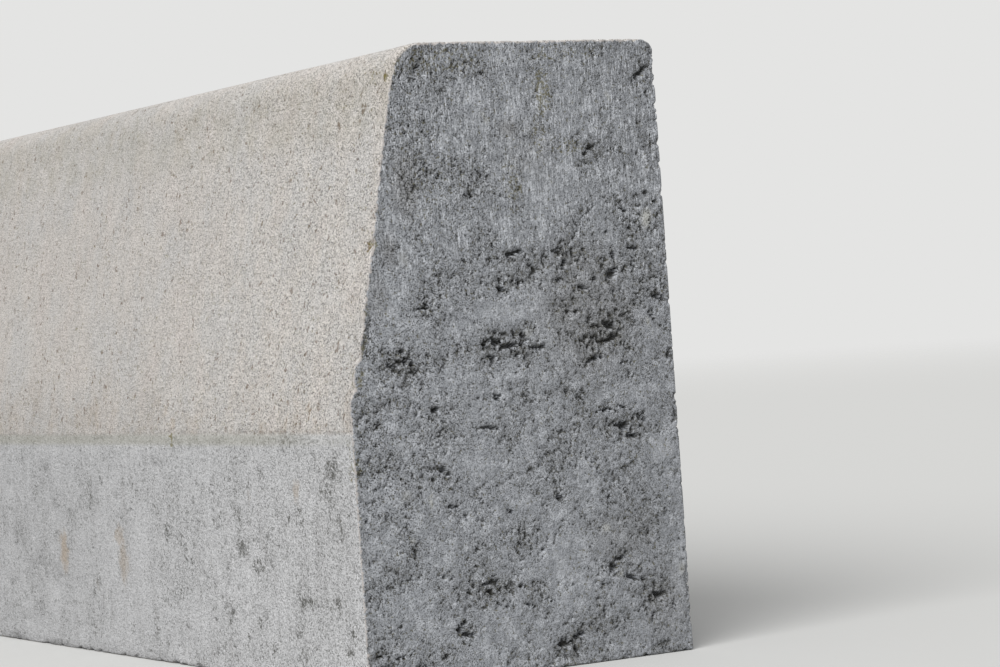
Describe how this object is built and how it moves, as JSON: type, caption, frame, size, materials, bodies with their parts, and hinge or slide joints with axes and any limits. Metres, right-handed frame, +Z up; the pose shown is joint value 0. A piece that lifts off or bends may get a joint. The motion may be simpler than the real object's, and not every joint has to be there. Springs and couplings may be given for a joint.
{
  "type": "concrete kerb stone",
  "caption": "Straight concrete kerb stone: upright foot, front face battered back to a narrower top with a rounded nose, flat ends and back.",
  "frame": {"origin": "middle of the bedding face, the flat underside that the stone stands on", "axes": "+X along the stone, to the right as the front face is seen; +Y from the front face to the back; +Z up"},
  "size_m": [1, 0.15, 0.25],
  "materials": {
    "concrete": "weathered pressed concrete, pitted and stained"
  },
  "bodies": {
    "root": {"kerb_stone": "concrete"}
  },
  "joints": []
}
